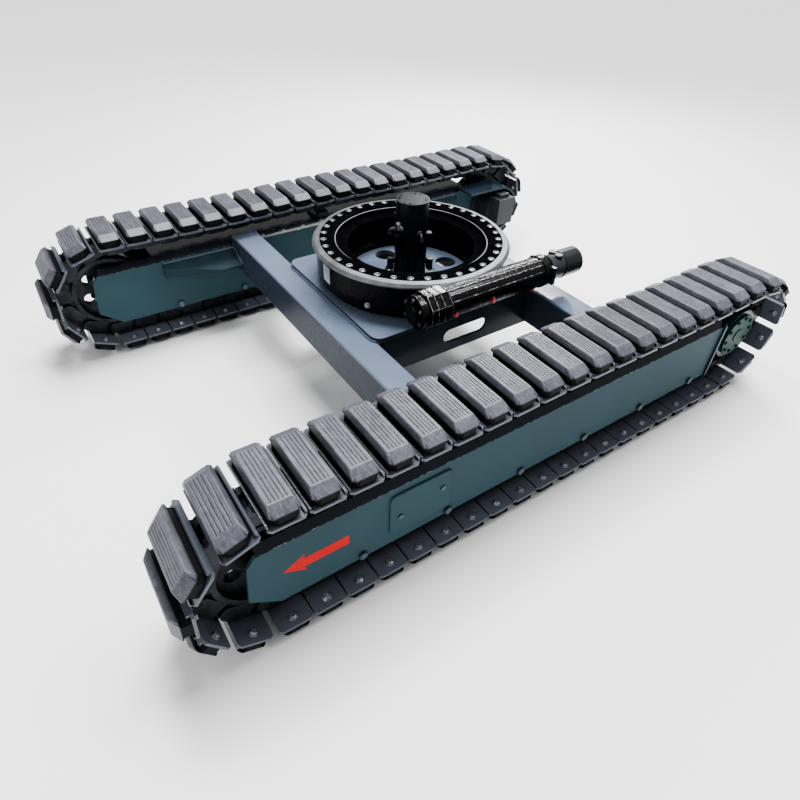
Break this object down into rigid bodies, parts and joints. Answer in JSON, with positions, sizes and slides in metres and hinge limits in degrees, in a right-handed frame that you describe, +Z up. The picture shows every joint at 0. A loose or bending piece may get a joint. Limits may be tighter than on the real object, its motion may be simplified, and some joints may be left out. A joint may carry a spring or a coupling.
{
  "type": "tracked undercarriage",
  "caption": "Rubber-padded steel crawler undercarriage with worm slewing drive, centre swivel joint, idlers, rollers and two travel drives.",
  "frame": {"origin": "on the ground under the slewing axis, at the middle of the track length and width", "axes": "+Z up, -Y the travel direction (idler end), +X towards the left track, which has the worm beside it"},
  "size_m": [1.773, 2.4524, 0.698],
  "materials": {
    "pad_rubber": "satin, finely ribbed",
    "shoe_paint": "satin, scuffed",
    "chain_black": "oiled black",
    "frame_paint": "satin grey-green",
    "roof_black": "gloss black",
    "cross_paint": "semi-gloss blue-grey",
    "member_paint": "semi-gloss dark slate",
    "slew_black": "gloss black",
    "ring_black": "blackened, machined",
    "machined_steel": "turned",
    "swivel_black": "satin black",
    "zinc_bolt": "zinc plated",
    "hub_teal": "satin",
    "motor_grey": "satin grey",
    "plug_red": "gloss red"
  },
  "bodies": {
    "undercarriage": {"access_covers": "frame_paint", "adjuster_cylinders": "chain_black", "base_plate": "cross_paint", "beam_gussets": "frame_paint", "end_flanges": "frame_paint", "frame_bolts": "frame_paint", "frame_roofs": "roof_black", "front_crossbeam": "cross_paint", "left_inner_side_plate": "frame_paint", "left_outer_side_plate": "frame_paint", "left_recoil_spring": "chain_black", "motor_guards": "member_paint", "pad_bolts": "zinc_bolt", "rear_crossbeam": "cross_paint", "right_inner_side_plate": "frame_paint", "right_outer_side_plate": "frame_paint", "right_recoil_spring": "chain_black", "roller_shafts": "chain_black", "rubber_pads": "pad_rubber", "side_members": "member_paint", "slew_bolts": "zinc_bolt", "slew_housing": "slew_black", "slew_inner_ring": "ring_black", "slew_rim_band": "machined_steel", "swivel_core": "swivel_black", "track_links": "chain_black", "track_pins_and_bushes": "chain_black", "track_shoes": "shoe_paint", "travel_motors": "motor_grey", "worm_end_caps": "slew_black", "worm_motor": "slew_black", "worm_plugs": "plug_red"},
    "slew_ring": {"slew_ring_gear": "ring_black"},
    "worm": {"worm": "machined_steel"},
    "swivel_rotor": {"swivel_rotor": "swivel_black", "swivel_cover": "swivel_black"},
    "left_yoke": {"left_idler_yoke": "chain_black"},
    "left_idler": {"left_idler": "chain_black"},
    "left_drive": {"left_sprocket": "chain_black", "left_drive_hub": "chain_black", "left_drive_cover": "hub_teal"},
    "left_track_roller_1": {"left_track_roller_1": "chain_black"},
    "left_track_roller_2": {"left_track_roller_2": "chain_black"},
    "left_track_roller_3": {"left_track_roller_3": "chain_black"},
    "left_track_roller_4": {"left_track_roller_4": "chain_black"},
    "left_track_roller_5": {"left_track_roller_5": "chain_black"},
    "left_track_roller_6": {"left_track_roller_6": "chain_black"},
    "left_carrier_roller": {"left_carrier_roller": "chain_black"},
    "right_yoke": {"right_idler_yoke": "chain_black"},
    "right_idler": {"right_idler": "chain_black"},
    "right_drive": {"right_sprocket": "chain_black", "right_drive_hub": "chain_black", "right_drive_cover": "hub_teal"},
    "right_track_roller_1": {"right_track_roller_1": "chain_black"},
    "right_track_roller_2": {"right_track_roller_2": "chain_black"},
    "right_track_roller_3": {"right_track_roller_3": "chain_black"},
    "right_track_roller_4": {"right_track_roller_4": "chain_black"},
    "right_track_roller_5": {"right_track_roller_5": "chain_black"},
    "right_track_roller_6": {"right_track_roller_6": "chain_black"},
    "right_carrier_roller": {"right_carrier_roller": "chain_black"}
  },
  "joints": [
    {"name": "slew", "type": "hinge", "parent": "undercarriage", "child": "slew_ring", "pos_m": [0, 0, 0.556], "axis": [0, 0, 1], "continuous": true},
    {"name": "worm_turn", "type": "hinge", "parent": "undercarriage", "child": "worm", "pos_m": [0.37, 0, 0.498], "axis": [0, 1, 0], "continuous": true},
    {"name": "swivel_turn", "type": "hinge", "parent": "undercarriage", "child": "swivel_rotor", "pos_m": [0, 0, 0.605], "axis": [0, 0, 1], "continuous": true},
    {"name": "left_recoil", "type": "slide", "parent": "undercarriage", "child": "left_yoke", "axis": [0, 1, 0], "range_m": [0, 0.025], "stiffness_N_per_m": 150000, "springref_m": -0.02, "deforming": ["left_recoil_spring"]},
    {"name": "left_idler_turn", "type": "hinge", "parent": "left_yoke", "child": "left_idler", "pos_m": [0.7615, -0.97771, 0.25535], "axis": [1, 0, 0], "continuous": true},
    {"name": "left_drive_turn", "type": "hinge", "parent": "undercarriage", "child": "left_drive", "pos_m": [0.7615, 0.97771, 0.25535], "axis": [1, 0, 0], "continuous": true},
    {"name": "left_roller_1_turn", "type": "hinge", "parent": "undercarriage", "child": "left_track_roller_1", "pos_m": [0.7615, -0.725, 0.14], "axis": [1, 0, 0], "continuous": true},
    {"name": "left_roller_2_turn", "type": "hinge", "parent": "undercarriage", "child": "left_track_roller_2", "pos_m": [0.7615, -0.435, 0.14], "axis": [1, 0, 0], "continuous": true},
    {"name": "left_roller_3_turn", "type": "hinge", "parent": "undercarriage", "child": "left_track_roller_3", "pos_m": [0.7615, -0.145, 0.14], "axis": [1, 0, 0], "continuous": true},
    {"name": "left_roller_4_turn", "type": "hinge", "parent": "undercarriage", "child": "left_track_roller_4", "pos_m": [0.7615, 0.145, 0.14], "axis": [1, 0, 0], "continuous": true},
    {"name": "left_roller_5_turn", "type": "hinge", "parent": "undercarriage", "child": "left_track_roller_5", "pos_m": [0.7615, 0.435, 0.14], "axis": [1, 0, 0], "continuous": true},
    {"name": "left_roller_6_turn", "type": "hinge", "parent": "undercarriage", "child": "left_track_roller_6", "pos_m": [0.7615, 0.725, 0.14], "axis": [1, 0, 0], "continuous": true},
    {"name": "left_carrier_turn", "type": "hinge", "parent": "undercarriage", "child": "left_carrier_roller", "pos_m": [0.7615, 0, 0.36939], "axis": [1, 0, 0], "continuous": true},
    {"name": "right_recoil", "type": "slide", "parent": "undercarriage", "child": "right_yoke", "axis": [0, 1, 0], "range_m": [0, 0.025], "stiffness_N_per_m": 150000, "springref_m": -0.02, "deforming": ["right_recoil_spring"]},
    {"name": "right_idler_turn", "type": "hinge", "parent": "right_yoke", "child": "right_idler", "pos_m": [-0.7615, -0.97771, 0.25535], "axis": [1, 0, 0], "continuous": true},
    {"name": "right_drive_turn", "type": "hinge", "parent": "undercarriage", "child": "right_drive", "pos_m": [-0.7615, 0.97771, 0.25535], "axis": [1, 0, 0], "continuous": true},
    {"name": "right_roller_1_turn", "type": "hinge", "parent": "undercarriage", "child": "right_track_roller_1", "pos_m": [-0.7615, -0.725, 0.14], "axis": [1, 0, 0], "continuous": true},
    {"name": "right_roller_2_turn", "type": "hinge", "parent": "undercarriage", "child": "right_track_roller_2", "pos_m": [-0.7615, -0.435, 0.14], "axis": [1, 0, 0], "continuous": true},
    {"name": "right_roller_3_turn", "type": "hinge", "parent": "undercarriage", "child": "right_track_roller_3", "pos_m": [-0.7615, -0.145, 0.14], "axis": [1, 0, 0], "continuous": true},
    {"name": "right_roller_4_turn", "type": "hinge", "parent": "undercarriage", "child": "right_track_roller_4", "pos_m": [-0.7615, 0.145, 0.14], "axis": [1, 0, 0], "continuous": true},
    {"name": "right_roller_5_turn", "type": "hinge", "parent": "undercarriage", "child": "right_track_roller_5", "pos_m": [-0.7615, 0.435, 0.14], "axis": [1, 0, 0], "continuous": true},
    {"name": "right_roller_6_turn", "type": "hinge", "parent": "undercarriage", "child": "right_track_roller_6", "pos_m": [-0.7615, 0.725, 0.14], "axis": [1, 0, 0], "continuous": true},
    {"name": "right_carrier_turn", "type": "hinge", "parent": "undercarriage", "child": "right_carrier_roller", "pos_m": [-0.7615, 0, 0.36939], "axis": [1, 0, 0], "continuous": true}
  ],
  "couplings": [
    {"joint": "worm_turn", "follows": "slew", "ratio": 90},
    {"joint": "swivel_turn", "follows": "slew", "ratio": 1},
    {"joint": "left_idler_turn", "follows": "left_drive_turn", "ratio": 1},
    {"joint": "left_roller_1_turn", "follows": "left_drive_turn", "ratio": 5.1922},
    {"joint": "left_roller_2_turn", "follows": "left_drive_turn", "ratio": 5.1922},
    {"joint": "left_roller_3_turn", "follows": "left_drive_turn", "ratio": 5.1922},
    {"joint": "left_roller_4_turn", "follows": "left_drive_turn", "ratio": 5.1922},
    {"joint": "left_roller_5_turn", "follows": "left_drive_turn", "ratio": 5.1922},
    {"joint": "left_roller_6_turn", "follows": "left_drive_turn", "ratio": 5.1922},
    {"joint": "left_carrier_turn", "follows": "left_drive_turn", "ratio": 4.9937},
    {"joint": "right_idler_turn", "follows": "right_drive_turn", "ratio": 1},
    {"joint": "right_roller_1_turn", "follows": "right_drive_turn", "ratio": 5.1922},
    {"joint": "right_roller_2_turn", "follows": "right_drive_turn", "ratio": 5.1922},
    {"joint": "right_roller_3_turn", "follows": "right_drive_turn", "ratio": 5.1922},
    {"joint": "right_roller_4_turn", "follows": "right_drive_turn", "ratio": 5.1922},
    {"joint": "right_roller_5_turn", "follows": "right_drive_turn", "ratio": 5.1922},
    {"joint": "right_roller_6_turn", "follows": "right_drive_turn", "ratio": 5.1922},
    {"joint": "right_carrier_turn", "follows": "right_drive_turn", "ratio": 4.9937}
  ]
}
